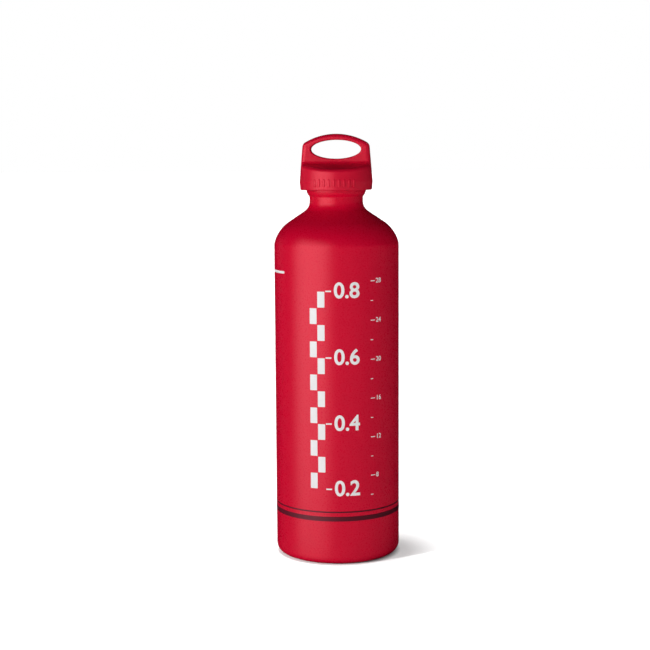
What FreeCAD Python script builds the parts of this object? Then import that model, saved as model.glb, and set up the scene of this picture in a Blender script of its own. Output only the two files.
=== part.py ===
import FreeCAD
import Part
import math
import os

# A camping fuel bottle with a press-and-turn cap. Lengths are in millimetres, angles in degrees.
# The origin is the middle of the base on the ground, and the bottle stands along Z.
# The cap's loop spans X, and its hole runs through along Y.

# Bottle, from the base up
body_diameter = 80.0
body_wall = 0.9
base_wall = 1.8
base_edge_radius = 6.0
base_ring_width = 2.6
base_dome_rise = 7.0
straight_height = 200.5
shoulder_lower_radius = 8.0
shoulder_lower_angle = 16.0
shoulder_upper_radius = 23.0
shoulder_slope = 34.0
neck_fillet = 7.4
neck_wall = 2.1
waist_length = 2.6
flare_angle = 36.0
flare_inner_radius = 1.2
flare_outer_radius = 6.0
collar_step = 1.9
collar_length = 3.58
rim_edge_radius = 0.5
mouth_chamfer = 0.8

# Thread in the neck; its radius is the bore's
thread_radius = 15.0
thread_depth = 1.4
thread_pitch = 3.0
thread_crest_width = 0.8
thread_flank_angle = 15.0
thread_turns = 2.75
thread_setback = 0.9

# Plug that screws into the neck, and its seal
plug_thread_play = 0.3
plug_thread_turns = 2.5
plug_nose = 2.55
plug_nose_chamfer = 0.8
plug_wall = 2.2
plug_floor = 2.0
flange_thickness = 2.0
flange_play = 0.3
gasket_height = 1.4
gasket_inset = 0.4
gasket_play = 0.2
vent_slot_width = 2.6
vent_slot_count = 2

# Drive teeth between the plug and the cap
tooth_count = 12
tooth_height = 1.3
tooth_gap = 0.2
tooth_margin = 1.3
tooth_width_share = 0.42

# Return spring round the cap's post, in the plug's well
spring_wire = 1.2
spring_play = 1.2
spring_turns = 6.0
spring_end_turns = 0.75
spring_end_gap = 0.5
spring_seat_gap = 0.1
post_wall = 1.6
post_length = 5.0

# Cap shell, from the foot of its skirt to the top of its loop
skirt_depth = 10.5
skirt_gap = 1.9
skirt_wall = 2.0
skirt_lead = 0.6
skirt_edge_radius = 0.7
skirt_bulge = 0.45
skirt_bulge_height = 5.4
skirt_bulge_blend = 6.0
cap_taper = 4.8
bead_count = 6
bead_angle = 34.0
bead_bite = 0.7
bead_height = 1.4
bead_tip_share = 0.35
bead_gap = 0.15
roof_edge_rise = 2.4
roof_slope = 12.0
loop_thickness = 8.5
loop_root_radius = 2.4
loop_sill = 1.0
loop_hole_height = 11.9
loop_side = 5.6
loop_band = 3.85
loop_edge_radius = 2.6
loop_hole_edge_radius = 0.85
arch_radius = 39.0
arch_corner_radius = 3.8

# How far a cut runs past a face, and how deep a joined feature sinks into its base
overrun = 2.0
sink = 0.25

cubic_mm_per_litre = 1e6

Vector = FreeCAD.Vector
origin = Vector(0, 0, 0)
axis_x = Vector(1, 0, 0)
axis_y = Vector(0, 1, 0)
axis_z = Vector(0, 0, 1)


class Outline:
    """A profile in the XZ plane, drawn as straight runs and arcs from a point and a heading."""

    def __init__(self, radius, height, heading):
        self.at = Vector(radius, 0, height)
        self.heading = heading
        self.edges = []

    def line_to(self, radius, height):
        end = Vector(radius, 0, height)
        self.edges.append(Part.LineSegment(self.at, end).toShape())
        self.at = end

    def forward(self, length):
        angle = math.radians(self.heading)
        self.line_to(self.at.x + length * math.cos(angle), self.at.z + length * math.sin(angle))

    def turn(self, radius, angle):
        """An arc that turns the heading, to the left for a positive angle."""
        middle = self.after_turn(radius, angle / 2)
        end = self.after_turn(radius, angle)
        self.edges.append(Part.Arc(self.at, middle, end).toShape())
        self.at = end
        self.heading = self.heading + angle

    def after_turn(self, radius, angle):
        """The point that an arc from here reaches."""
        start = math.radians(self.heading)
        end = math.radians(self.heading + angle)
        reach = math.copysign(radius, angle)
        across = reach * (math.sin(end) - math.sin(start))
        up = reach * (math.cos(start) - math.cos(end))
        return self.at + Vector(across, 0, up)

    def corner(self, radius, height, rounding, end_heading):
        """A straight run to a corner that lies ahead, which is rounded on to a new heading."""
        angle = end_heading - self.heading
        reach = Vector(radius, 0, height).distanceToPoint(self.at)
        self.forward(reach - rounding * math.tan(math.radians(abs(angle) / 2)))
        self.turn(rounding, angle)

    def turn_onto(self, end_radius, rounding, end_heading):
        """A straight run, then an arc on to a new heading that ends at the given radius."""
        angle = end_heading - self.heading
        arc_width = self.after_turn(rounding, angle).x - self.at.x
        self.forward((end_radius - arc_width - self.at.x) / math.cos(math.radians(self.heading)))
        self.turn(rounding, angle)


def face_of(edges):
    return Part.Face(Part.Wire(Part.__sortEdges__(edges)))


def polygon_face(corners):
    points = [Vector(radius, 0, height) for radius, height in corners]
    return Part.Face(Part.makePolygon(points + points[:1]))


def turned(face, angle=360):
    """The solid that a profile sweeps about Z, with its middle in the XZ plane."""
    solid = face.revolve(origin, axis_z, angle)
    solid.rotate(origin, axis_z, -angle / 2)
    return solid


def ring_of(solid, count, first_angle):
    """Copies of a solid, evenly spaced about Z."""
    copies = []
    for number in range(count):
        copy = solid.copy()
        copy.rotate(origin, axis_z, first_angle + number * 360 / count)
        copies.append(copy)
    return copies


# Radii that follow from the thread's, from the inside out
body_radius = body_diameter / 2
thread_crest_radius = thread_radius - thread_depth
plug_core_radius = thread_crest_radius - plug_thread_play
plug_crest_radius = thread_radius - plug_thread_play
well_radius = plug_core_radius - plug_wall
spring_radius = well_radius - spring_play - spring_wire / 2
post_radius = spring_radius - spring_wire / 2 - spring_play
mouth_radius = thread_radius + mouth_chamfer
neck_radius = thread_radius + neck_wall
collar_radius = neck_radius + collar_step
skirt_bore_radius = collar_radius + skirt_gap
skirt_foot_radius = skirt_bore_radius + skirt_wall
skirt_bulge_radius = skirt_foot_radius + skirt_bulge
flange_radius = skirt_bore_radius - flange_play
tooth_inner_radius = well_radius + tooth_margin
tooth_outer_radius = flange_radius - tooth_margin


def add_shoulder(side, inset, end_radius, end_fillet):
    """The shoulder, from the top of the straight body to the upright neck."""
    side.turn(shoulder_lower_radius - inset, shoulder_lower_angle)
    side.turn(shoulder_upper_radius - inset, 90 - shoulder_slope - shoulder_lower_angle)
    side.turn_onto(end_radius, end_fillet, 90)


def outside_outline():
    """The bottle's outside, from the middle of its domed base to the top of its rim."""
    ring_outer = body_radius - base_edge_radius
    ring_inner = ring_outer - base_ring_width
    dome_radius = (ring_inner ** 2 + base_dome_rise ** 2) / (2 * base_dome_rise)
    side = Outline(0, base_dome_rise, 0)
    side.turn(dome_radius, -math.degrees(math.asin(ring_inner / dome_radius)))
    side.heading = 0
    side.corner(body_radius, 0, base_edge_radius, 90)
    side.line_to(body_radius, straight_height)
    add_shoulder(side, 0, neck_radius, neck_fillet)
    side.forward(waist_length)
    side.turn(flare_inner_radius, -flare_angle)
    side.turn_onto(collar_radius, flare_outer_radius, 90)
    side.forward(collar_length)
    side.turn(rim_edge_radius, 90)
    return side


def inside_outline():
    """The bottle's inside, from the middle of its floor to the straight bore of its neck."""
    ring_inner = body_radius - base_edge_radius - base_ring_width
    dome_radius = (ring_inner ** 2 + base_dome_rise ** 2) / (2 * base_dome_rise)
    floor_radius = dome_radius + base_wall
    foot_angle = math.acos((floor_radius - base_dome_rise) / floor_radius)
    side = Outline(0, base_dome_rise + base_wall, 0)
    side.turn(floor_radius, -math.degrees(foot_angle))
    side.heading = 0
    side.corner(body_radius - body_wall, base_wall, base_edge_radius - body_wall, 90)
    side.line_to(body_radius - body_wall, straight_height)
    add_shoulder(side, body_wall, thread_radius, neck_fillet + neck_wall)
    return side


# Heights that follow, from the bottle's rim to the top of the loop
rim_height = outside_outline().at.z
thread_bottom = rim_height - mouth_chamfer - thread_setback - thread_turns * thread_pitch
plug_thread_bottom = thread_bottom + thread_pitch / 2
plug_bottom = plug_thread_bottom - plug_nose
well_bottom = plug_bottom + plug_floor
gasket_top = rim_height + gasket_height
flange_top = gasket_top + flange_thickness
ceiling = flange_top + 2 * tooth_height + tooth_gap
skirt_bottom = ceiling - skirt_depth
bulge_level = skirt_bottom + skirt_bulge_height


def neck_ridge_width(radius):
    """Axial width of the neck's thread ridge at a radius."""
    flank = math.tan(math.radians(thread_flank_angle))
    return thread_crest_width + 2 * flank * (radius - thread_crest_radius)


def plug_ridge_width(radius):
    """Axial width of the plug's ridge at a radius, with play to the neck's ridge on both sides."""
    return thread_pitch - neck_ridge_width(radius) - 2 * plug_thread_play


def thread_ridge(inner_radius, outer_radius, width_at, bottom, turns):
    """A right-hand helical ridge between two radii."""
    inner_half = width_at(inner_radius) / 2
    outer_half = width_at(outer_radius) / 2
    section = polygon_face([
        (inner_radius, -inner_half),
        (outer_radius, -outer_half),
        (outer_radius, outer_half),
        (inner_radius, inner_half),
    ])
    helix = Part.makeHelix(thread_pitch, thread_pitch * turns, thread_radius)
    sweep = Part.BRepOffsetAPI.MakePipeShell(helix)
    sweep.setFrenetMode(True)
    sweep.add(section.OuterWire)
    sweep.build()
    sweep.makeSolid()
    ridge = sweep.shape()
    ridge.translate(Vector(0, 0, bottom))
    return ridge


def bottle_shell():
    outside = outside_outline()
    outside.line_to(mouth_radius, rim_height)
    outside.line_to(thread_radius, rim_height - mouth_chamfer)
    inside = inside_outline()
    inside.line_to(thread_radius, rim_height - mouth_chamfer)
    middle = Outline(0, base_dome_rise, 90)
    middle.forward(base_wall)
    bottle = turned(face_of(outside.edges + inside.edges + middle.edges))
    ridge_root = thread_radius + sink
    ridge = thread_ridge(thread_crest_radius, ridge_root, neck_ridge_width, thread_bottom, thread_turns)
    return bottle.fuse(ridge)


def brimful_litres():
    """What the bottle holds up to its rim."""
    inside = inside_outline()
    inside.line_to(thread_radius, rim_height)
    inside.line_to(0, rim_height)
    inside.line_to(0, base_dome_rise + base_wall)
    return turned(face_of(inside.edges)).Volume / cubic_mm_per_litre


def plug_gasket():
    """A ring with round sides, squeezed flat between the rim and the plug's flange."""
    side_radius = gasket_height / 2
    flat_width = collar_radius - gasket_inset - mouth_radius - 2 * side_radius
    ring = Outline(mouth_radius + side_radius, rim_height, 0)
    ring.forward(flat_width)
    ring.turn(side_radius, 180)
    ring.forward(flat_width)
    ring.turn(side_radius, 180)
    return turned(face_of(ring.edges))


def drive_tooth(bottom, top):
    """One tooth of a ring that turns the plug when the cap is pressed."""
    section = polygon_face([
        (tooth_inner_radius, bottom),
        (tooth_outer_radius, bottom),
        (tooth_outer_radius, top),
        (tooth_inner_radius, top),
    ])
    return turned(section, tooth_width_share * 360 / tooth_count)


def vent_slot():
    """A groove down the plug's thread that lets pressure out before the thread lets go."""
    slot = Part.makeBox(thread_depth + overrun, vent_slot_width, rim_height - plug_bottom + overrun)
    slot.translate(Vector(plug_core_radius, -vent_slot_width / 2, plug_bottom - overrun))
    return slot


def plug():
    seat_radius = mouth_radius - gasket_play
    seat_bottom = rim_height + gasket_play
    body = turned(polygon_face([
        (0, plug_bottom),
        (plug_core_radius - plug_nose_chamfer, plug_bottom),
        (plug_core_radius, plug_bottom + plug_nose_chamfer),
        (plug_core_radius, seat_bottom),
        (seat_radius, seat_bottom),
        (seat_radius, gasket_top),
        (flange_radius, gasket_top),
        (flange_radius, flange_top),
        (well_radius, flange_top),
        (well_radius, well_bottom),
        (0, well_bottom),
    ]))
    root_radius = plug_core_radius - sink
    bottom = plug_thread_bottom
    ridge = thread_ridge(root_radius, plug_crest_radius, plug_ridge_width, bottom, plug_thread_turns)
    threaded = body.fuse(ridge).cut(ring_of(vent_slot(), vent_slot_count, 90))
    return threaded.fuse(ring_of(drive_tooth(flange_top - sink, flange_top + tooth_height), tooth_count, 0))


def spring_stations():
    """Centre-line points and directions at every quarter turn; the end turns are wound closer."""
    steps = round(spring_turns * 4)
    ramp_shares = []
    for step in range(steps + 1):
        turns_from_end = min(step, steps - step) / 4
        ramp_shares.append(min(max(turns_from_end - spring_end_turns, 0), 1))
    step_shares = [(before + after) / 2 for before, after in zip(ramp_shares, ramp_shares[1:])]
    end_pitch = spring_wire + spring_end_gap
    rise = ceiling - well_bottom - spring_wire - 2 * spring_seat_gap
    extra_pitch = (rise - end_pitch * steps / 4) / (sum(step_shares) / 4)
    height = well_bottom + spring_seat_gap + spring_wire / 2
    stations = []
    for step, share in enumerate(ramp_shares):
        angle = step * math.pi / 2
        point = Vector(spring_radius * math.cos(angle), spring_radius * math.sin(angle), height)
        climb = (end_pitch + extra_pitch * share) / (2 * math.pi * spring_radius)
        direction = Vector(-math.sin(angle), math.cos(angle), climb).normalize()
        stations.append((point, direction))
        if step < steps:
            height = height + (end_pitch + extra_pitch * step_shares[step]) / 4
    return stations


def tangent_arc(start, corner, end):
    """The arc from start to end whose end tangents meet at the corner."""
    weight = (end - start).normalize().dot((corner - start).normalize())
    middle = ((start + end) / 2 + corner * weight) / (1 + weight)
    return Part.Arc(start, middle, end).toShape()


def double_arc(start, start_direction, end, end_direction):
    """Two arcs of equal tangent length that join two points along the given directions."""
    gap = end - start
    both = start_direction + end_direction
    square = both.dot(both) - 4
    linear = -2 * gap.dot(both)
    root = math.sqrt(linear ** 2 - 4 * square * gap.dot(gap))
    reach = (-linear - root) / (2 * square)
    first = start + start_direction * reach
    second = end - end_direction * reach
    join = (first + second) / 2
    return [tangent_arc(start, first, join), tangent_arc(join, second, end)]


def least_gap(path):
    """Smallest clear space between two turns of the spring, measured on points."""
    points = path.discretize(Number=len(path.Edges) * 8)
    half_turn = round(len(points) / spring_turns / 2)
    gaps = []
    for number, point in enumerate(points):
        for other in points[number + half_turn:]:
            gaps.append(point.distanceToPoint(other) - spring_wire)
    return min(gaps)


def return_spring():
    stations = spring_stations()
    edges = []
    for near, far in zip(stations, stations[1:]):
        edges += double_arc(near[0], near[1], far[0], far[1])
    path = Part.Wire(edges)
    print("return_spring least gap to itself", round(least_gap(path), 2))
    sweep = Part.BRepOffsetAPI.MakePipeShell(path)
    sweep.add(Part.Wire(Part.makeCircle(spring_wire / 2, stations[0][0], stations[0][1])))
    sweep.build()
    sweep.makeSolid()
    return sweep.shape()


def cap_radius(height):
    """Outer radius of the cap above its bulge."""
    return skirt_bulge_radius - (height - bulge_level) * math.tan(math.radians(cap_taper))


def roof_outline():
    """The loop's face from a free height down, its root and the roof that slopes to the skirt's edge."""
    edge_height = ceiling + roof_edge_rise
    slope = math.tan(math.radians(roof_slope))
    profile = Outline(loop_thickness / 2, 0, 270)
    foot = profile.after_turn(loop_root_radius, 90 - roof_slope)
    profile.at.z = edge_height + (cap_radius(edge_height) - foot.x) * slope - foot.z
    profile.turn(loop_root_radius, 90 - roof_slope)
    profile.forward(2 * skirt_bulge_radius)
    return profile


loop_root_top = roof_outline().edges[0].Vertexes[0].Z
hole_middle = loop_root_top + loop_sill + loop_hole_height / 2
cap_top = hole_middle + loop_hole_height / 2 + loop_band
hole_width = 2 * (cap_radius(hole_middle) - loop_side)


def cap_blank():
    """The tapered outside of the cap under the arch of its loop."""
    foot_angle = math.degrees(math.atan(skirt_bulge / skirt_bulge_height))
    half_span = skirt_bulge_radius + overrun
    blank_top = cap_top + overrun
    profile = Outline(0, skirt_bottom, 0)
    profile.corner(skirt_foot_radius, skirt_bottom, skirt_edge_radius, 90 - foot_angle)
    profile.corner(skirt_bulge_radius, bulge_level, skirt_bulge_blend, 90 + cap_taper)
    profile.line_to(cap_radius(blank_top), blank_top)
    profile.line_to(0, blank_top)
    profile.line_to(0, skirt_bottom)
    blank = turned(face_of(profile.edges))
    blank.rotate(origin, axis_z, 90)

    arch_angle = math.degrees(math.asin(half_span / arch_radius))
    arch = Outline(0, cap_top, 180)
    arch.turn(arch_radius, arch_angle)
    arch.line_to(-half_span, skirt_bottom - overrun)
    arch.line_to(half_span, skirt_bottom - overrun)
    arch.line_to(half_span, arch.edges[0].Vertexes[1].Z)
    arch.heading = 180 - arch_angle
    arch.turn(arch_radius, arch_angle)
    arched = face_of(arch.edges).extrude(axis_y * 2 * half_span)
    arched.translate(axis_y * -half_span)
    return blank.common(arched).removeSplitter()


def front_cut():
    """What is cut away in front of the loop, down to the sloping roof."""
    profile = roof_outline()
    profile.line_to(profile.at.x, cap_top + overrun)
    profile.line_to(loop_thickness / 2, cap_top + overrun)
    profile.line_to(loop_thickness / 2, loop_root_top)
    cut = face_of(profile.edges).extrude(axis_y * 4 * skirt_bulge_radius)
    cut.translate(axis_y * -2 * skirt_bulge_radius)
    return cut


def loop_hole():
    """The oval that goes through the loop along Y."""
    oval = Part.Face(Part.Wire(Part.Ellipse(origin, hole_width / 2, loop_hole_height / 2).toShape()))
    hole = oval.extrude(axis_z * 2 * loop_thickness)
    hole.rotate(origin, axis_x, 90)
    hole.translate(Vector(0, loop_thickness, hole_middle))
    return hole


def upper_edges(shape, wanted):
    """The curved edges above the ceiling whose bounding box is wanted."""
    curved = [edge for edge in shape.Edges if not isinstance(edge.Curve, Part.Line)]
    return [edge for edge in curved if edge.BoundBox.ZMin > ceiling and wanted(edge.BoundBox)]


def goes_across(box):
    return box.YMin * box.YMax < 0


def stays_on_one_side(box):
    return box.YMin * box.YMax > 0


def rings_the_hole(box):
    return stays_on_one_side(box) and box.YLength < sink and abs(box.XLength - hole_width) < sink


def skirt_bore():
    """The room inside the skirt, up to the ceiling, with a lead-in at the foot."""
    return turned(polygon_face([
        (0, skirt_bottom - overrun),
        (skirt_bore_radius + skirt_lead + overrun, skirt_bottom - overrun),
        (skirt_bore_radius, skirt_bottom + skirt_lead),
        (skirt_bore_radius, ceiling),
        (0, ceiling),
    ]))


def snap_bead():
    """One of the beads that catch under the plug's flange."""
    tip_radius = flange_radius - bead_bite
    root_radius = skirt_bore_radius + sink
    top = gasket_top - bead_gap
    section = polygon_face([
        (root_radius, top),
        (tip_radius, top),
        (tip_radius, top - bead_height * bead_tip_share),
        (root_radius, top - bead_height),
    ])
    return turned(section, bead_angle)


def spring_post():
    """The tube under the roof that keeps the spring in the middle."""
    bottom = ceiling - post_length
    return turned(polygon_face([
        (post_radius - post_wall, bottom),
        (post_radius, bottom),
        (post_radius, ceiling + sink),
        (post_radius - post_wall, ceiling + sink),
    ]))


def cap_shell():
    shape = cap_blank()
    shape = shape.makeFillet(arch_corner_radius, upper_edges(shape, goes_across))
    shape = shape.cut(ring_of(front_cut(), 2, 90))
    shape = shape.makeFillet(loop_edge_radius, upper_edges(shape, stays_on_one_side))
    shape = shape.cut(loop_hole())
    shape = shape.makeFillet(loop_hole_edge_radius, upper_edges(shape, rings_the_hole))
    shape = shape.cut(skirt_bore())
    teeth = ring_of(drive_tooth(ceiling - tooth_height, ceiling + sink), tooth_count, 180 / tooth_count)
    beads = ring_of(snap_bead(), bead_count, 0)
    return shape.fuse(teeth + beads + [spring_post()])


pieces = {
    "bottle_shell": bottle_shell,
    "plug_gasket": plug_gasket,
    "plug": plug,
    "return_spring": return_spring,
    "cap_shell": cap_shell,
}

os.makedirs("parts", exist_ok=True)
for name, make in pieces.items():
    solid = make().Solids[0]
    print(name, "valid", solid.isValid(), "volume", round(solid.Volume, 1))
    solid.exportStep("parts/" + name + ".step")
print("rim height", round(rim_height, 2), "cap top", round(cap_top, 2))
print("brimful litres", round(brimful_litres(), 3))
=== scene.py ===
import math
import bpy
import numpy as np
from mathutils import Matrix, Vector
from mathutils.geometry import delaunay_2d_cdt


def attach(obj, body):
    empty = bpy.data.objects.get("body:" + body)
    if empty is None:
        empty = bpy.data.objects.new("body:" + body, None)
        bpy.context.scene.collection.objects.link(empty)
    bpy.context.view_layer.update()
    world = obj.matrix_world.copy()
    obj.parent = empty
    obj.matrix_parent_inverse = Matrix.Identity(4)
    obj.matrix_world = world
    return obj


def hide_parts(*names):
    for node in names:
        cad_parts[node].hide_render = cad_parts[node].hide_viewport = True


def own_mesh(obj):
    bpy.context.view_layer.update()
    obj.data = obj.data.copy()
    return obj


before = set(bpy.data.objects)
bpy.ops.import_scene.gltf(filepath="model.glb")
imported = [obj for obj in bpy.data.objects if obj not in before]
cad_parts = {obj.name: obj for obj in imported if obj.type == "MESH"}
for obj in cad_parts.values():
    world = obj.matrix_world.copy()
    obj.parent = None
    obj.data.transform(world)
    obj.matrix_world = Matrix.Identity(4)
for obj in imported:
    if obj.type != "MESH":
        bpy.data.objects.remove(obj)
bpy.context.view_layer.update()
print("frame loaded:", ", ".join(sorted(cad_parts)))

mm = 0.001  # the pieces' sizes are in millimetres, all angles in degrees, and meshes in metres


# small node helpers: place puts in a node, sets its fields and fills or links its sockets

def place(tree, kind, sockets=None, **fields):
    made = tree.nodes.new("ShaderNode" + kind)
    for field, value in fields.items():
        setattr(made, field, value)
    for socket, value in (sockets or {}).items():
        if isinstance(value, bpy.types.NodeSocket):
            tree.links.new(value, made.inputs[socket])
        else:
            made.inputs[socket].default_value = value
    return made


def calc(tree, operation, *values):
    return place(tree, "Math", dict(enumerate(values)), operation=operation).outputs[0]


def noise(tree, where, scale, detail):
    return place(tree, "TexNoise", {"Vector": where, "Scale": scale, "Detail": detail}).outputs["Fac"]


def twoShades(tree, factor, shadeA, shadeB):
    return place(tree, "Mix", {
        "Factor": factor,
        "A": (*shadeA, 1.0),
        "B": (*shadeB, 1.0),
    }, data_type="RGBA").outputs["Result"]


def smoothRamp(tree, value, start, end, before, after):
    # an S-shaped change from one level to the other while the value goes from start to end
    return place(tree, "MapRange", {
        "Value": value,
        "From Min": start,
        "From Max": end,
        "To Min": before,
        "To Max": after,
    }, interpolation_type="SMOOTHSTEP").outputs["Result"]


def newMaterial(name):
    material = bpy.data.materials.new(name)
    material.use_nodes = True
    material.node_tree.nodes.clear()
    return material, material.node_tree


def finishMaterial(tree, shader):
    place(tree, "OutputMaterial", {"Surface": shader.outputs[0]})


def newGroup(name, inputs, outputs):
    group = bpy.data.node_groups.new(name, "ShaderNodeTree")
    for label, value in inputs.items():
        socket = group.interface.new_socket(label, in_out="INPUT", socket_type="NodeSocketFloat")
        socket.default_value = value
    for label, kind in outputs.items():
        group.interface.new_socket(label, in_out="OUTPUT", socket_type="NodeSocket" + kind)
    return group, group.nodes.new("NodeGroupInput"), group.nodes.new("NodeGroupOutput")


# shared effects

def relief(group, entry, height):
    # the group's two relief inputs turn a height into a normal
    return place(group, "Bump", {
        "Strength": entry.outputs["Relief"],
        "Distance": entry.outputs["Relief Height"],
        "Height": height,
    }).outputs["Normal"]


def surfaceGrainGroup():
    # broad noise shades the colour, fine noise lifts the surface; both sit on the piece's own coordinates
    inputs = {"Broad Scale": 30.0, "Fine Scale": 900.0, "Relief": 0.1, "Relief Height": 0.0001}
    outputs = {"Mottle": "Float", "Grain": "Float", "Normal": "Vector"}
    group, entry, leave = newGroup("surfaceGrain", inputs, outputs)
    where = place(group, "TexCoord").outputs["Object"]
    broad = noise(group, where, entry.outputs["Broad Scale"], detail=3.0)
    fine = noise(group, where, entry.outputs["Fine Scale"], detail=2.0)
    group.links.new(broad, leave.inputs["Mottle"])
    group.links.new(fine, leave.inputs["Grain"])
    group.links.new(relief(group, entry, fine), leave.inputs["Normal"])
    return group


def turningMarksGroup():
    # noise read at (radius, height) only, so that it makes rings round the axis as a lathe tool does
    inputs = {"Marks Scale": 4000.0, "Relief": 0.2, "Relief Height": 0.00003}
    outputs = {"Marks": "Float", "Normal": "Vector"}
    group, entry, leave = newGroup("turningMarks", inputs, outputs)
    where = place(group, "SeparateXYZ", {0: place(group, "TexCoord").outputs["Object"]}).outputs
    across = calc(group, "MULTIPLY", where["X"], where["X"])
    radius = calc(group, "SQRT", calc(group, "MULTIPLY_ADD", where["Y"], where["Y"], across))
    flat = place(group, "CombineXYZ", {"X": radius, "Y": where["Z"]}).outputs[0]
    marks = noise(group, flat, entry.outputs["Marks Scale"], detail=3.0)
    group.links.new(marks, leave.inputs["Marks"])
    group.links.new(relief(group, entry, marks), leave.inputs["Normal"])
    return group


surfaceGrain = surfaceGrainGroup()
turningMarks = turningMarksGroup()


# finishes: two shades, how rough the low and high spots are, and the grain or the tool's marks

noiseSpan = (0.3, 0.7)  # most of what a noise texture gives lies between these


def finishedMaterial(name, look, group, values, shadeBy, roughBy):
    material, tree = newMaterial(name)
    effect = place(tree, "Group", values, node_tree=group).outputs
    rough = place(tree, "MapRange", {
        "Value": effect[roughBy],
        "From Min": noiseSpan[0],
        "From Max": noiseSpan[1],
        "To Min": look["roughness"][0],
        "To Max": look["roughness"][1],
    })
    shader = place(tree, "BsdfPrincipled", {
        "Base Color": twoShades(tree, effect[shadeBy], look["shadeA"], look["shadeB"]),
        "Roughness": rough.outputs["Result"],
        "Normal": effect["Normal"],
        "Metallic": look.get("metallic", 0.0),
        "Specular IOR Level": look.get("specular", 0.5),
    })
    finishMaterial(tree, shader)
    return material


def grainedMaterial(name, look):
    return finishedMaterial(name, look, surfaceGrain, look["grain"], "Mottle", "Grain")


def turnedMaterial(name, look):
    return finishedMaterial(name, look, turningMarks, look["marks"], "Marks", "Marks")


redLacquer = grainedMaterial("redLacquer", {
    "shadeA": (0.655, 0.0010, 0.0290),
    "shadeB": (0.705, 0.0014, 0.0315),
    "roughness": (0.265, 0.295),
    "specular": 0.218,
    "metallic": 0.01,
    "grain": {"Broad Scale": 26.0, "Fine Scale": 1150.0, "Relief": 0.035, "Relief Height": 0.00008},
})
redPlastic = grainedMaterial("redPlastic", {
    "shadeA": (0.64, 0.0028, 0.0300),
    "shadeB": (0.695, 0.0036, 0.0330),
    "roughness": (0.32, 0.39),
    "specular": 0.285,
    "metallic": 0.01,
    "grain": {"Broad Scale": 60.0, "Fine Scale": 2600.0, "Relief": 0.09, "Relief Height": 0.00006},
})
blackPlastic = grainedMaterial("blackPlastic", {
    "shadeA": (0.016, 0.016, 0.017),
    "shadeB": (0.026, 0.026, 0.027),
    "roughness": (0.36, 0.5),
    "grain": {"Broad Scale": 90.0, "Fine Scale": 2400.0, "Relief": 0.15, "Relief Height": 0.00006},
})
sealRubber = grainedMaterial("sealRubber", {
    "shadeA": (0.018, 0.018, 0.018),
    "shadeB": (0.034, 0.033, 0.032),
    "roughness": (0.68, 0.85),
    "grain": {"Broad Scale": 160.0, "Fine Scale": 1800.0, "Relief": 0.3, "Relief Height": 0.00008},
})
springSteel = grainedMaterial("springSteel", {
    "shadeA": (0.50, 0.49, 0.47),
    "shadeB": (0.66, 0.65, 0.63),
    "roughness": (0.22, 0.36),
    "metallic": 1.0,
    "grain": {"Broad Scale": 220.0, "Fine Scale": 3500.0, "Relief": 0.12, "Relief Height": 0.00004},
})
bareAluminium = turnedMaterial("bareAluminium", {
    "shadeA": (0.70, 0.71, 0.72),
    "shadeB": (0.86, 0.86, 0.87),
    "roughness": (0.26, 0.42),
    "metallic": 0.6,
    "marks": {"Marks Scale": 3200.0, "Relief": 0.25, "Relief Height": 0.00003},
})
inkSurface = {
    "roughness": (0.42, 0.5),
    "specular": 0.21,
    "grain": {"Broad Scale": 70.0, "Fine Scale": 1150.0, "Relief": 0.035, "Relief Height": 0.00008},
}
whiteInk = grainedMaterial("whiteInk", {
    "shadeA": (0.90, 0.885, 0.89),
    "shadeB": (0.95, 0.935, 0.94),
    **inkSurface,
})
maroonInk = grainedMaterial("maroonInk", {
    "shadeA": (0.085, 0.004, 0.013),
    "shadeB": (0.105, 0.006, 0.017),
    **inkSurface,
})
print("finishes made")


# shapes as whole arrays

onAxis = 1e-6  # a radius below this counts as the axis


def newObject(name, data):
    made = bpy.data.objects.new(name, data)
    bpy.context.scene.collection.objects.link(made)
    return made


def newMesh(name, points, faces, material):
    mesh = bpy.data.meshes.new(name)
    mesh.from_pydata(np.asarray(points).tolist(), [], faces)
    mesh.materials.append(material)
    return mesh


def meshPiece(name, points, faces, material, body, sharpAngle=30.0):
    mesh = newMesh(name, points * mm, faces, material)
    mesh.polygons.foreach_set("use_smooth", np.ones(len(mesh.polygons), bool))
    mesh.set_sharp_from_angle(angle=math.radians(sharpAngle))
    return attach(newObject(name, mesh), body)


def lineRun(at, heading, length, steps):
    # start plus equal steps along the heading's direction
    reach = np.linspace(0.0, length, steps + 1)[1:, None]
    return at + reach * np.array([math.cos(heading), math.sin(heading)])


def arcRun(at, heading, radius, angle, steps):
    # start plus r (sin h1 - sin h0, cos h0 - cos h1), with the radius negative for a turn to the right
    turn = heading + np.linspace(0.0, angle, steps + 1)[1:]
    side = math.copysign(radius, angle)
    return at + side * np.stack([np.sin(turn) - math.sin(heading), math.cos(heading) - np.cos(turn)], 1)


def tracePath(start, heading, legs):
    # radius and height along a profile, walked leg by leg; a leg ends with its number of steps,
    # and an onto leg is a line and an arc, with steps for each, that end at a given radius
    at, heading = np.array(start, float), math.radians(heading)
    runs = [at[None]]
    for kind, *sizes in legs:
        if kind == "head":
            heading = math.radians(sizes[0])
        elif kind == "line":
            runs.append(lineRun(at, heading, *sizes))
        elif kind == "arc":
            radius, degrees, steps = sizes
            runs.append(arcRun(at, heading, radius, math.radians(degrees), steps))
            heading += math.radians(degrees)
        elif kind == "onto":
            endRadius, radius, degrees, lineSteps, arcSteps = sizes
            width = (arcRun(at, heading, radius, math.radians(degrees), 1)[0] - at)[0]
            runs.append(lineRun(at, heading, (endRadius - width - at[0]) / math.cos(heading), lineSteps))
            runs.append(arcRun(runs[-1][-1], heading, radius, math.radians(degrees), arcSteps))
            heading += math.radians(degrees)
        at = runs[-1][-1]
    return np.concatenate(runs)


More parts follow.
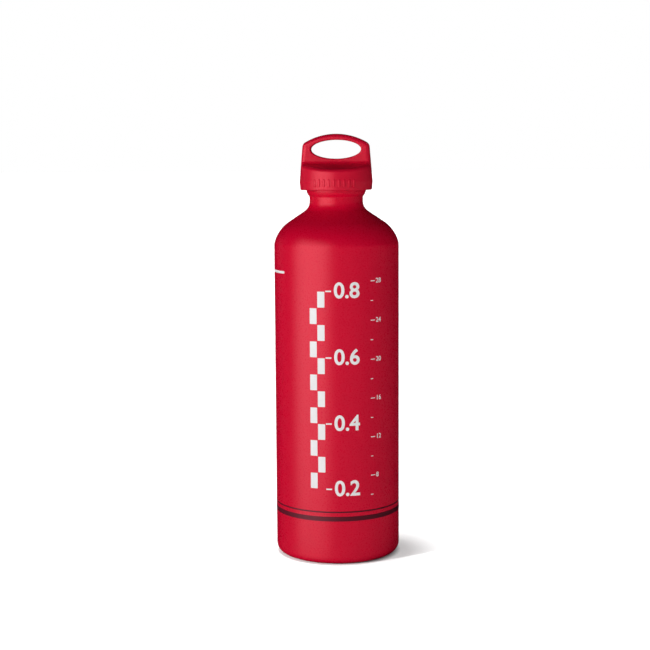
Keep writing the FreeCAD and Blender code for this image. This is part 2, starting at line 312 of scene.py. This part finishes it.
def latheMesh(profile, segments):
    # x = r sin a, y = -r cos a, z = h over profile rows and turns; a row on the axis is one point,
    # and a profile that ends where it starts is closed on its first row
    radius, height = profile.T
    angle = np.arange(segments) * 2 * np.pi / segments
    grid = np.stack(np.broadcast_arrays(
        radius[:, None] * np.sin(angle), -radius[:, None] * np.cos(angle), height[:, None]), 2)
    pole = radius < onAxis
    kept = ~pole[:, None] | (np.arange(segments) == 0)
    closed = np.array_equal(profile[0], profile[-1])
    if closed:
        kept[-1] = False
    number = np.cumsum(kept.ravel()).reshape(kept.shape) - 1
    number[pole] = number[pole][:, :1]
    if closed:
        number[-1] = number[0]
    low, high = number[:-1], number[1:]
    lowNext, highNext = np.roll(low, -1, 1), np.roll(high, -1, 1)
    faces = []
    for row in range(len(profile) - 1):
        if pole[row]:
            faces += np.stack([low[row], highNext[row], high[row]], 1).tolist()
        elif pole[row + 1]:
            faces += np.stack([low[row], lowNext[row], high[row]], 1).tolist()
        else:
            faces += np.stack([low[row], lowNext[row], highNext[row], high[row]], 1).tolist()
    return grid[kept], faces


def sweepMesh(rings):
    # rings of points along a path, joined ring to ring and closed at both ends
    count, around = rings.shape[:2]
    number = np.arange(count * around).reshape(count, around)
    ahead = np.roll(number, -1, 1)
    sides = np.stack([number[:-1], ahead[:-1], ahead[1:], number[1:]], 2).reshape(-1, 4).tolist()
    ends = [number[0, ::-1].tolist(), number[-1].tolist()]
    return rings.reshape(-1, 3), sides + ends


# bottle: one closed lathe form, lacquered outside and bare from the rim inwards

bottleShape = {
    "bodyRadius": 40.0, "wall": 0.9, "floor": 1.8, "footRadius": 6.0, "footRing": 2.6, "domeRise": 7.0,
    "straightTop": 200.5, "lowBend": (8.0, 16.0), "highBend": (23.0, 40.0),
    "neckRadius": 17.1, "neckFillet": 7.4, "waist": 2.6, "flareAngle": 36.0, "flareBends": (1.2, 6.0),
    "collarRadius": 19.0, "collarLength": 3.58, "rimRound": 0.5, "rimSteps": 6,
    "mouthChamfer": 0.8, "boreRadius": 15.0, "neckWall": 2.1, "segments": 256,
}


def domeArc(shape):
    # the foot ring's inner radius w, and the radius (w^2 + h^2) / 2h of an arc that rises by h over it
    ringInner = shape["bodyRadius"] - shape["footRadius"] - shape["footRing"]
    return ringInner, (ringInner ** 2 + shape["domeRise"] ** 2) / (2 * shape["domeRise"])


def bottleOutside(shape):
    # from the middle of the domed base, round the foot and up the body to the top of the rim
    ringInner, dome = domeArc(shape)
    slope = shape["lowBend"][1] + shape["highBend"][1]
    return tracePath((0.0, shape["domeRise"]), 0.0, [
        ("arc", dome, -math.degrees(math.asin(ringInner / dome)), 16),
        ("head", 0.0),
        ("line", shape["footRing"], 2),
        ("arc", shape["footRadius"], 90.0, 14),
        ("line", shape["straightTop"] - shape["footRadius"], 24),
        ("arc", *shape["lowBend"], 8),
        ("arc", *shape["highBend"], 20),
        ("onto", shape["neckRadius"], shape["neckFillet"], -slope, 3, 20),
        ("line", shape["waist"], 2),
        ("arc", shape["flareBends"][0], -shape["flareAngle"], 8),
        ("onto", shape["collarRadius"], shape["flareBends"][1], shape["flareAngle"], 3, 8),
        ("line", shape["collarLength"], 3),
        ("arc", shape["rimRound"], 90.0, shape["rimSteps"]),
    ])


def bottleInside(shape):
    # from the middle of the floor up to the foot of the bore, one wall in from the outside
    dome = domeArc(shape)[1] + shape["floor"]
    fall = math.acos((dome - shape["domeRise"]) / dome)
    foot = shape["footRadius"] - shape["wall"]
    inner = shape["bodyRadius"] - shape["wall"]
    lowRadius, lowAngle = shape["lowBend"]
    highRadius, highAngle = shape["highBend"]
    return tracePath((0.0, shape["domeRise"] + shape["floor"]), 0.0, [
        ("arc", dome, -math.degrees(fall), 14),
        ("head", 0.0),
        ("line", inner - foot - dome * math.sin(fall), 1),
        ("arc", foot, 90.0, 8),
        ("line", shape["straightTop"] - shape["floor"] - foot, 12),
        ("arc", lowRadius - shape["wall"], lowAngle, 4),
        ("arc", highRadius - shape["wall"], highAngle, 10),
        ("onto", shape["boreRadius"], shape["neckFillet"] + shape["neckWall"], -lowAngle - highAngle, 3, 10),
    ])


def makeBottle(shape):
    outside, inside = bottleOutside(shape), bottleInside(shape)
    rim, bore = outside[-1, 1], shape["boreRadius"]
    mouth = np.array([[bore + shape["mouthChamfer"], rim], [bore, rim - shape["mouthChamfer"]]])
    points, faces = latheMesh(np.concatenate([outside, mouth, inside[::-1]]), shape["segments"])
    bottle = meshPiece("bottleSkin", points, faces, redLacquer, "bottle")
    bottle.data.materials.append(bareAluminium)
    lacquered = (len(outside) - shape["rimSteps"]) * shape["segments"]  # it stops on the rim's outer round
    bottle.data.polygons.foreach_set("material_index", (np.arange(len(faces)) >= lacquered).astype(np.int32))
    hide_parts("bottle_shell")
    return rim


rimHeight = makeBottle(bottleShape)
print("bottle made, rim at", round(rimHeight, 2))


# thread inside the neck

neckThread = {
    "pitch": 3.0, "turns": 2.75, "depth": 1.4, "crest": 0.8, "flank": 15.0, "setback": 0.9, "root": 0.25,
    "runOut": 25.0, "leastDepth": 0.05, "stations": 220,
}


def makeNeckThread(thread, shape):
    # four corners of the ridge carried up a helix; the ridge's depth fades in and out over the run-out angle
    turn = np.linspace(0.0, thread["turns"] * 2 * np.pi, thread["stations"])
    bottom = rimHeight - shape["mouthChamfer"] - thread["setback"] - thread["turns"] * thread["pitch"]
    runOut = np.minimum(turn, turn[-1] - turn) / math.radians(thread["runOut"])
    depth = thread["depth"] * np.clip(runOut, thread["leastDepth"], 1.0)
    half = thread["crest"] / 2
    wide = half + math.tan(math.radians(thread["flank"])) * (depth + thread["root"])
    outer = np.full_like(turn, shape["boreRadius"] + thread["root"])
    crest = shape["boreRadius"] - depth
    radius = np.stack([crest, outer, outer, crest], 1)
    offset = np.stack([np.full_like(turn, -half), -wide, wide, np.full_like(turn, half)], 1)
    height = bottom + thread["pitch"] * turn[:, None] / (2 * np.pi) + offset
    rings = np.stack([radius * np.cos(turn)[:, None], radius * np.sin(turn)[:, None], height], 2)
    points, faces = sweepMesh(rings[:, ::-1])
    ridge = meshPiece("neckThread", points, faces, bareAluminium, "bottle")


makeNeckThread(neckThread, bottleShape)


# spring: round wire up a helix whose end turns are wound closer

springCoil = {
    "wire": 1.2, "radius": 9.3, "turns": 6.0, "closeTurns": 0.75, "closePitch": 1.7,
    "foot": 231.1, "top": 246.1, "seat": 231.0, "pressed": 1.3,
    "stations": 289, "around": 14, "sharpAngle": 60.0,
}


def makeSpring(coil):
    # pitch grows from the close end turns over one turn; its running sum gives the height along the wire
    turn = np.linspace(0.0, coil["turns"], coil["stations"])
    ramp = np.clip(np.minimum(turn, coil["turns"] - turn) - coil["closeTurns"], 0.0, 1.0)
    step = np.concatenate([[0.0], (ramp[1:] + ramp[:-1]) / 2 * np.diff(turn)])
    rise = coil["top"] - coil["foot"] - coil["wire"]
    extra = (rise - coil["closePitch"] * coil["turns"]) / step.sum()
    height = coil["foot"] + coil["wire"] / 2 + coil["closePitch"] * turn + extra * np.cumsum(step)
    angle = 2 * np.pi * turn
    around = np.arange(coil["around"]) * 2 * np.pi / coil["around"]
    reach = coil["radius"] + coil["wire"] / 2 * np.cos(around)
    rings = np.stack(np.broadcast_arrays(
        reach * np.cos(angle)[:, None],
        reach * np.sin(angle)[:, None],
        height[:, None] + coil["wire"] / 2 * np.sin(around),
    ), 2)
    points, faces = sweepMesh(rings[:, ::-1])
    spring = meshPiece("springCoil", points, faces, springSteel, "spring", coil["sharpAngle"])
    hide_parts("return_spring")
    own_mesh(spring)


makeSpring(springCoil)
print("neck thread and spring made")


# the cap, plug and gasket keep their CAD meshes and get their finishes

cadFinishes = {
    "cap_shell": (redPlastic, "cap_plastic"),
    "plug": (blackPlastic, "plug_plastic"),
    "plug_gasket": (sealRubber, "seal_rubber"),
}
for name, (material, slotName) in cadFinishes.items():
    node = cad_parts[name]
    node.data.materials.clear()
    node.data.materials.append(material)
print("finishes put on the CAD pieces")


# grip ribs: a row of small raised ribs on the skirt, front and back

gripRibs = {
    "count": 9, "spacing": 3.3, "halfWidth": 0.75, "halfHeight": 2.6, "level": 240.3,
    "rise": 0.3, "sunk": 0.3, "skirtRadius": 23.33, "rows": 15, "around": 16,
    "endPower": 5, "leastSwell": 0.02, "sidePower": 0.6, "proudPower": 0.8, "sharpAngle": 50.0,
}


def makeGripRibs(rib):
    # a rib is a long superellipsoid: rings of powers of cos and sin, which shrink as sqrt(1 - |along|^p)
    along = np.linspace(-1.0, 1.0, rib["rows"])
    swell = np.sqrt(np.maximum(1 - np.abs(along) ** rib["endPower"], rib["leastSwell"] ** 2))
    turn = np.arange(rib["around"]) * 2 * np.pi / rib["around"]
    side = np.sign(np.cos(turn)) * np.abs(np.cos(turn)) ** rib["sidePower"]
    proud = np.sign(np.sin(turn)) * np.abs(np.sin(turn)) ** rib["proudPower"]
    across = rib["halfWidth"] * swell[:, None] * side
    radius = rib["skirtRadius"] + np.where(proud > 0, rib["rise"], rib["sunk"]) * swell[:, None] * proud
    height = np.broadcast_to(rib["level"] + rib["halfHeight"] * along[:, None], radius.shape)
    places = (np.arange(rib["count"]) - (rib["count"] - 1) / 2) * rib["spacing"]
    points, faces = [], []
    for facing in (0.0, np.pi):
        for reach in places:
            angle = facing + (reach + across) / rib["skirtRadius"]
            ring = np.stack([radius * np.sin(angle), -radius * np.cos(angle), height], 2)
            ribPoints, ribFaces = sweepMesh(ring[:, ::-1])
            faces += [[corner + len(ribPoints) * len(points) for corner in face] for face in ribFaces]
            points.append(ribPoints)
    ribs = meshPiece("gripRibs", np.concatenate(points), faces, redPlastic, "cap", rib["sharpAngle"])


makeGripRibs(gripRibs)
print("grip ribs made")


# print on the body: flat marks in label millimetres, x round the body and y up, wrapped on the cylinder

inkFilm = {
    "radius": bottleShape["bodyRadius"], "clear": 0.01, "thick": 0.05,
    "slice": 0.8, "weld": 0.0005,  # widest slice that follows the curve, and nearer points than this are one
    "endRows": 7, "blunt": 0.04,  # rows of a rounded end, and the share of the rounding where its tip is cut
}


def barSheet(x0, y0, x1, y1, width, rounding):
    # a strip between two points; at d from an end its half width is w/2 - r + sqrt(r^2 - (r - d)^2)
    start, end = np.array([x0, y0]), np.array([x1, y1])
    length = np.hypot(*(end - start))
    along = (end - start) / length
    across = np.array([-along[1], along[0]])
    ends = rounding * (1 - np.cos(np.linspace(0.0, np.pi / 2, inkFilm["endRows"])))
    slices = max(2, int((length - 2 * rounding) / inkFilm["slice"]) + 2)
    middle = np.linspace(rounding, length - rounding, slices)
    reach = np.concatenate([ends[:-1], middle, length - ends[:-1][::-1]])
    depth = np.clip(np.minimum(reach, length - reach), inkFilm["blunt"] * rounding, rounding)
    half = width / 2 - rounding + np.sqrt(rounding ** 2 - (rounding - depth) ** 2)
    sides = np.linspace(-1.0, 1.0, max(2, int(width / inkFilm["slice"]) + 2))
    points = start + reach[:, None, None] * along + (half[:, None] * sides)[:, :, None] * across
    number = np.arange(points.shape[0] * points.shape[1]).reshape(points.shape[:2])
    faces = np.stack([number[:-1, :-1], number[1:, :-1], number[1:, 1:], number[:-1, 1:]], 2).reshape(-1, 4)
    return points.reshape(-1, 2), faces.tolist()


def numberOutline(text, size):
    # a number as the flat points and triangles of its filled outline
    outline = bpy.data.curves.new("numberOutline", "FONT")
    outline.body = text
    outline.size = size
    outline.align_x = "LEFT"
    outline.align_y = "CENTER"
    holder = newObject("numberOutline", outline)
    flat = bpy.data.meshes.new_from_object(holder.evaluated_get(bpy.context.evaluated_depsgraph_get()))
    bpy.data.objects.remove(holder)
    flat.calc_loop_triangles()
    points = np.zeros(len(flat.vertices) * 3)
    flat.vertices.foreach_get("co", points)
    triangles = np.zeros(len(flat.loop_triangles) * 3, np.int32)
    flat.loop_triangles.foreach_get("vertices", triangles)
    bpy.data.meshes.remove(flat)
    return points.reshape(-1, 3)[:, :2], triangles.reshape(-1, 3)


def boldOutline(points, triangles, weight):
    # border edges are those that run one way only, and their outward normal is (dy, -dx);
    # each border point moves out along the mitre of its two edges' normals
    edges = np.concatenate([triangles[:, [0, 1]], triangles[:, [1, 2]], triangles[:, [2, 0]]])
    forth = edges[:, 0] * len(points) + edges[:, 1]
    back = edges[:, 1] * len(points) + edges[:, 0]
    border = edges[~np.isin(forth, back)]
    step = points[border[:, 1]] - points[border[:, 0]]
    normal = np.stack([step[:, 1], -step[:, 0]], 1) / np.hypot(step[:, 0], step[:, 1])[:, None]
    push = np.zeros_like(points)
    np.add.at(push, border[:, 0], normal)
    np.add.at(push, border[:, 1], normal)
    return points + 2 * weight * push / np.maximum((push ** 2).sum(1), 1.0)[:, None], border


def insideOutline(spots, points, border):
    # a spot is inside where more border edges go up than down on its right, at its own height
    (x0, y0), (x1, y1) = points[border[:, 0]].T, points[border[:, 1]].T
    spotX, spotY = spots[:, :1], spots[:, 1:]
    rising = (y0 <= spotY) & (y1 > spotY)
    falling = (y1 <= spotY) & (y0 > spotY)
    slant = (x1 - x0) / np.where(y1 == y0, 1.0, y1 - y0)
    onRight = x0 + (spotY - y0) * slant > spotX
    return (rising & onRight).sum(1) > (falling & onRight).sum(1)


def numberSheet(text, x, y, size, weight):
    # the outline is cut by upright lines, so that it can follow the body's curve, and filled again
    points, border = boldOutline(*numberOutline(text, size), weight)
    (left, low), (right, high) = points.min(0), points.max(0)
    cuts = np.arange(left + inkFilm["slice"], right, inkFilm["slice"])
    cutEnds = np.stack([np.repeat(cuts, 2), np.tile([low, high], len(cuts))], 1)
    cutEdges = len(points) + np.arange(len(cutEnds)).reshape(-1, 2)
    spots = [Vector(spot) for spot in np.concatenate([points, cutEnds]).tolist()]
    edges = np.concatenate([border, cutEdges]).tolist()
    filled = delaunay_2d_cdt(spots, edges, [], 0, inkFilm["weld"])
    spots, triangles = np.array(filled[0]), np.array(filled[2])
    triangles = triangles[insideOutline(spots[triangles].mean(1), points, border)]
    used, faces = np.unique(triangles, return_inverse=True)
    return spots[used] + np.array([x, y]), faces.reshape(-1, 3).tolist()


def printPiece(name, sheets, material):
    # angle = x / radius carries a flat mark round the body, and a thin solid film stands just off it
    points, faces, count = [], [], 0
    for sheetPoints, sheetFaces in sheets:
        faces += [[corner + count for corner in face] for face in sheetFaces]
        points.append(sheetPoints)
        count += len(sheetPoints)
    flat = np.concatenate(points)
    radius = inkFilm["radius"] + inkFilm["clear"] + inkFilm["thick"]
    angle = flat[:, 0] / inkFilm["radius"]
    wrapped = np.stack([radius * np.sin(angle), -radius * np.cos(angle), flat[:, 1]], 1)
    made = meshPiece(name, wrapped, faces, material, "bottle")
    edgeOfLoop = np.zeros(len(made.data.loops), np.int32)
    made.data.loops.foreach_get("edge_index", edgeOfLoop)
    made.data.edges.foreach_set("use_edge_sharp", np.bincount(edgeOfLoop) == 1)  # the border stays crisp
    film = made.modifiers.new("film", "SOLIDIFY")
    film.thickness = inkFilm["thick"] * mm
    film.offset = -1.0  # inwards


# contents scale on the front: staggered blocks, one for each twentieth of a litre, and numbers

contentsScale = {
    "levels": (0.2, 0.8), "step": 0.05, "numberEvery": 4,
    "knownLevel": (0.86, 186.6), "litreHeight": 208.2,  # litres and where they stand, and how high a litre is
    "left": -15.0, "blockWidth": 4.6, "blockRound": 0.35, "gap": 0.5,
    "tick": 4.2, "tickWidth": 0.9, "tickRound": 0.2, "numberGap": 1.6, "numberSize": 13.5, "weight": 0.3,
}


def makeContentsScale(scale):
    # a content's height is the known level's height less the litres below it times a litre's height
    lowest, highest = scale["levels"]
    count = round((highest - lowest) / scale["step"])
    litres = lowest + scale["step"] * np.arange(count + 1)
    knownLitres, knownHeight = scale["knownLevel"]
    heights = knownHeight - (knownLitres - litres) * scale["litreHeight"]
    pitch = scale["blockWidth"] + scale["gap"]
    right = scale["left"] + pitch + scale["blockWidth"]
    tip = right + scale["tick"]
    sheets = []
    for block in range(count):
        x = scale["left"] + scale["blockWidth"] / 2 + pitch * (block % 2)
        low, high = heights[block] + scale["gap"] / 2, heights[block + 1] - scale["gap"] / 2
        sheets.append(barSheet(x, low, x, high, scale["blockWidth"], scale["blockRound"]))
    for mark in range(0, count + 1, scale["numberEvery"]):
        y = heights[mark]
        sheets.append(barSheet(right + scale["gap"], y, tip, y, scale["tickWidth"], scale["tickRound"]))
        sheets.append(numberSheet(
            f"{litres[mark]:.1f}", tip + scale["numberGap"], y, scale["numberSize"], scale["weight"]))
    printPiece("contentsScale", sheets, whiteInk)


makeContentsScale(contentsScale)


# fine scale beside it, in fluid ounces

fineScale = {
    "ounces": (6, 28), "tickEvery": 2, "numberEvery": 4, "ounceHeight": 6.157, "zero": 7.6,
    "left": 24.6, "longTick": 3.2, "shortTick": 1.8, "tickWidth": 0.5, "tickRound": 0.1,
    "numberGap": 0.8, "numberSize": 4.2, "weight": 0.05,
}


def makeFineScale(scale):
    lowest, highest = scale["ounces"]
    sheets = []
    for ounce in range(lowest, highest + 1, scale["tickEvery"]):
        y = scale["zero"] + ounce * scale["ounceHeight"]
        numbered = ounce % scale["numberEvery"] == 0
        tip = scale["left"] + (scale["longTick"] if numbered else scale["shortTick"])
        sheets.append(barSheet(scale["left"], y, tip, y, scale["tickWidth"], scale["tickRound"]))
        if numbered:
            sheets.append(numberSheet(
                str(ounce), tip + scale["numberGap"], y, scale["numberSize"], scale["weight"]))
    printPiece("fineScale", sheets, whiteInk)


makeFineScale(fineScale)


# fill line at the left, and plain rings round the foot of the body

fillLine = {"height": 184.6, "width": 1.55, "from": -121.7, "to": -51.7}  # angles round from the front
footRings = {"heights": (30.0, 34.4), "widths": (3.0, 0.9)}


def makeFillLine(line):
    perDegree = inkFilm["radius"] * math.pi / 180
    start, end = line["from"] * perDegree, line["to"] * perDegree
    sheet = barSheet(start, line["height"], end, line["height"], line["width"], line["width"] / 2)
    printPiece("fillLine", [sheet], whiteInk)


def makeFootRings(rings):
    # thin closed bands: a rectangle of ink turned round the axis
    inner = inkFilm["radius"] + inkFilm["clear"]
    outer = inner + inkFilm["thick"]
    for count, (height, width) in enumerate(zip(rings["heights"], rings["widths"])):
        low, high = height - width / 2, height + width / 2
        profile = np.array([[inner, low], [outer, low], [outer, high], [inner, high], [inner, low]])
        points, faces = latheMesh(profile, bottleShape["segments"])
        band = meshPiece(f"footRing{count + 1}", points, faces, maroonInk, "bottle")


makeFillLine(fillLine)
makeFootRings(footRings)
print("print made")


# floor and world, in metres: both look white, and give the object only a plain light

# the last two set how far and how finely the painted contact shadow under the foot reaches
paleFloor = {
    "size": 40.0, "drop": 0.00002, "white": 0.42, "tone": 0.01, "paperScale": 40.0, "paperDetail": 4.0,
    "bounce": 0.7, "lift": 0.48, "contactShadeReach": 0.0035, "contactShadeSamples": 4,
}
studioSky = {"glow": 0.06, "seen": 1.0}
pureWhite = (1.0, 1.0, 1.0, 1.0)


def seenBackground(tree):
    # 1 for rays that look at the background straight, mirrored or through something clear
    path = place(tree, "LightPath").outputs
    mirrored = calc(tree, "MAXIMUM", path["Is Camera Ray"], path["Is Glossy Ray"])
    return calc(tree, "MAXIMUM", mirrored, path["Is Transmission Ray"])


def stagePiece(name, points, faces, material):
    made = newObject(name, newMesh(name, points, faces, material))
    return made


def makeFloor(sheet):
    # it throws back less light than it shows; where it is looked at, a little glow lifts the shadow,
    # and ambient occlusion dims that glow where the foot all but touches the floor, a painted contact shadow
    material, tree = newMaterial("paleFloor")
    where = place(tree, "TexCoord").outputs["Object"]
    paper = noise(tree, where, sheet["paperScale"], sheet["paperDetail"])
    dark, light = sheet["white"] - sheet["tone"], sheet["white"] + sheet["tone"]
    seen = seenBackground(tree)
    bounce = place(tree, "MapRange", {"Value": seen, "To Min": sheet["bounce"], "To Max": 1.0})
    shade = place(tree, "VectorMath", {
        0: twoShades(tree, paper, (dark, dark, dark), (light, light, light)),
        "Scale": bounce.outputs["Result"],
    }, operation="SCALE")
    matte = place(tree, "BsdfDiffuse", {"Color": shade.outputs[0]})
    # painted contact shadow: ambient occlusion darkens the floor's glow close to the foot
    contactShade = place(tree, "AmbientOcclusion", {"Distance": sheet["contactShadeReach"]}, samples=sheet["contactShadeSamples"])
    glow = place(tree, "Emission", {
        "Color": contactShade.outputs["Color"],
        "Strength": calc(tree, "MULTIPLY", seen, sheet["lift"]),
    })
    finishMaterial(tree, place(tree, "AddShader", {0: matte.outputs[0], 1: glow.outputs[0]}))
    half, low = sheet["size"] / 2, -sheet["drop"]
    corners = [(-half, -half, low), (half, -half, low), (half, half, low), (-half, half, low)]
    made = stagePiece("floor", corners, [(0, 1, 2, 3)], material)
    made.visible_glossy = False  # the reflection cards are what shows in the gloss
    return made


def makeWorld(sky):
    world = bpy.data.worlds.new("studioWorld")
    world.use_nodes = True
    tree = world.node_tree
    tree.nodes.clear()
    dim = place(tree, "Background", {"Color": pureWhite, "Strength": sky["glow"]})
    white = place(tree, "Background", {"Color": pureWhite, "Strength": sky["seen"]})
    either = place(tree, "MixShader", {0: seenBackground(tree), 1: dim.outputs[0], 2: white.outputs[0]})
    place(tree, "OutputWorld", {"Surface": either.outputs[0]})
    world.cycles_visibility.glossy = False  # the reflection cards stand before it
    bpy.context.scene.world = world


floor = makeFloor(paleFloor)
makeWorld(studioSky)


# soft boxes, in metres: turns are from the front, to the right

softBoxes = {
    "keyLamp": {"turn": -27.0, "reach": 1.15, "height": 0.40, "size": (0.9, 0.75), "power": 7.4},
    "fillLamp": {"turn": 78.0, "reach": 1.1, "height": 0.2, "size": (0.5, 0.4), "power": 0.86},
    "sideLamp": {"turn": -120.0, "reach": 1.2, "height": 0.3, "size": (0.5, 0.6), "power": 2.7},
    "backLamp": {"turn": 176.0, "reach": 1.2, "height": 0.4, "size": (0.4, 0.6), "power": 2.2},
}
offFloor = ("sideLamp", "backLamp")  # these spare the floor, so that the shadow in front keeps its shape
aimHeight = 0.12  # about the middle of the body


def makeSoftBox(name, box):
    lamp = bpy.data.lights.new(name, "AREA")
    lamp.shape = "RECTANGLE"
    lamp.size, lamp.size_y = box["size"]
    lamp.energy = box["power"]
    made = newObject(name, lamp)
    turn = math.radians(box["turn"])
    position = np.array([box["reach"] * math.sin(turn), -box["reach"] * math.cos(turn), box["height"]])
    aim = np.array([0.0, 0.0, aimHeight]) - position
    tilt = math.acos(-aim[2] / np.linalg.norm(aim))
    made.location = position
    made.rotation_euler = (tilt, 0.0, math.atan2(aim[1], aim[0]) - math.pi / 2)
    made.visible_glossy = False
    return made


def limitLight(lamp, piece, state):
    # the lamp lights this piece alone (INCLUDE), or everything but this piece (EXCLUDE)
    linked = bpy.data.collections.new(lamp.name + "Lights")
    linked.objects.link(piece)
    linked.collection_objects[0].light_linking.link_state = state
    lamp.light_linking.receiver_collection = linked


for lampName, box in softBoxes.items():
    softBox = makeSoftBox(lampName, box)
    if lampName in offFloor:
        limitLight(softBox, floor, "EXCLUDE")


# lamps for the floor alone: the one overhead gives the shadow its place, the low one cuts its front edge

floorLamps = {
    "tableLamp": {"power": 4.4, "soft": 8.5, "tilt": 5.6, "turn": -6.0},
    "lowLamp": {"power": 7.0, "soft": 3.0, "tilt": 68.0, "turn": 36.0},
}


def makeFloorLamp(name, sun):
    # an even light, tilted from overhead so that the shadow falls to the right, then turned round the upright
    lamp = bpy.data.lights.new(name, "SUN")
    lamp.energy = sun["power"]
    lamp.angle = math.radians(sun["soft"])
    made = newObject(name, lamp)
    made.rotation_euler = (0.0, math.radians(-sun["tilt"]), math.radians(sun["turn"]))
    made.visible_glossy = False
    return made


for lampName, sun in floorLamps.items():
    limitLight(makeFloorLamp(lampName, sun), floor, "INCLUDE")


# reflection cards: a wide ball, in metres, that only the gloss sees

reflectionCards = {
    "reach": 3.0, "rows": 32, "around": 64, "glow": 5.55, "span": (-74.0, -13.5), "fade": 36.0,
    "roomGlow": 0.34, "roomSide": (20.0, 75.0), "ahead": (0.35, 0.8),
    # shares of the reach between which the level changes, and the levels below and above
    "top": (0.40, 0.75, 1.0, 0.0), "foot": (-0.94, -0.60, 0.0, 1.0), "dip": (-0.30, -0.13, 0.30, 1.0),
}


def makeCards(card):
    # turn = atan2(x, -y) is 0 at the front; the ball glows over a span of turns, with a dim room beside it
    material, tree = newMaterial("reflectionCards")
    coordinates = place(tree, "TexCoord").outputs
    where = place(tree, "SeparateXYZ", {0: coordinates["Object"]}).outputs
    turn = calc(tree, "ARCTAN2", where["X"], calc(tree, "MULTIPLY", where["Y"], -1.0))
    left, right = (math.radians(edge) for edge in card["span"])
    fade = math.radians(card["fade"]) / 2
    opens = smoothRamp(tree, turn, left - fade, left + fade, 0.0, 1.0)
    closes = smoothRamp(tree, turn, right - fade, right + fade, 1.0, 0.0)
    near, far = (math.radians(edge) for edge in card["roomSide"])
    level = place(tree, "MapRange", {
        "Value": calc(tree, "MULTIPLY", opens, closes),
        "To Min": smoothRamp(tree, calc(tree, "ABSOLUTE", turn), near, far, card["roomGlow"], 0.0),
        "To Max": card["glow"],
    }).outputs["Result"]
    for low, high, below, above in (card["top"], card["foot"], card["dip"]):
        upDown = smoothRamp(tree, where["Z"], low * card["reach"], high * card["reach"], below, above)
        level = calc(tree, "MULTIPLY", level, upDown)
    # it also fades straight ahead of the camera, where it would stand behind the bottle
    ahead = place(tree, "VectorMath", {0: coordinates["Camera"]}, operation="NORMALIZE").outputs[0]
    depth = place(tree, "SeparateXYZ", {0: ahead}).outputs["Z"]
    level = calc(tree, "MULTIPLY", level, smoothRamp(tree, depth, *card["ahead"], 1.0, 0.0))
    finishMaterial(tree, place(tree, "Emission", {"Color": pureWhite, "Strength": level}))
    material.cycles.emission_sampling = "NONE"
    halfCircle = tracePath((0.0, -card["reach"]), 0.0, [("arc", card["reach"], 180.0, card["rows"])])
    points, faces = latheMesh(halfCircle, card["around"])
    made = stagePiece("reflectionCards", points, faces, material)
    for rays in ("camera", "diffuse", "transmission", "volume_scatter", "shadow"):
        setattr(made, "visible_" + rays, False)


makeCards(reflectionCards)


# camera: as the photo was taken, in millimetres

cameraView = {
    "distance": 933.1, "height": 258.5, "azimuth": 3.5, "pitch": 6.723, "aside": 0.474, "roll": -0.35,
    "focalPixels": 1451.07, "framePixels": 650.0, "sensor": 36.0, "clip": (20.0, 50000.0),
}


def makeCamera(view):
    camera = bpy.data.cameras.new("camera")
    camera.sensor_width = view["sensor"]
    camera.lens = view["focalPixels"] / view["framePixels"] * view["sensor"]
    camera.clip_start, camera.clip_end = (limit * mm for limit in view["clip"])
    made = newObject("camera", camera)
    around, reach = math.radians(view["azimuth"]), view["distance"] * mm
    position = (reach * math.sin(around), -reach * math.cos(around), view["height"] * mm)
    made.matrix_world = (
        Matrix.Translation(position)
        @ Matrix.Rotation(math.radians(view["azimuth"] + view["aside"]), 4, "Z")
        @ Matrix.Rotation(math.radians(90.0 - view["pitch"]), 4, "X")
        @ Matrix.Rotation(math.radians(view["roll"]), 4, "Z")
    )
    bpy.context.scene.camera = made


makeCamera(cameraView)
bpy.context.scene.view_settings.view_transform = "Standard"
print("floor, light and camera set")
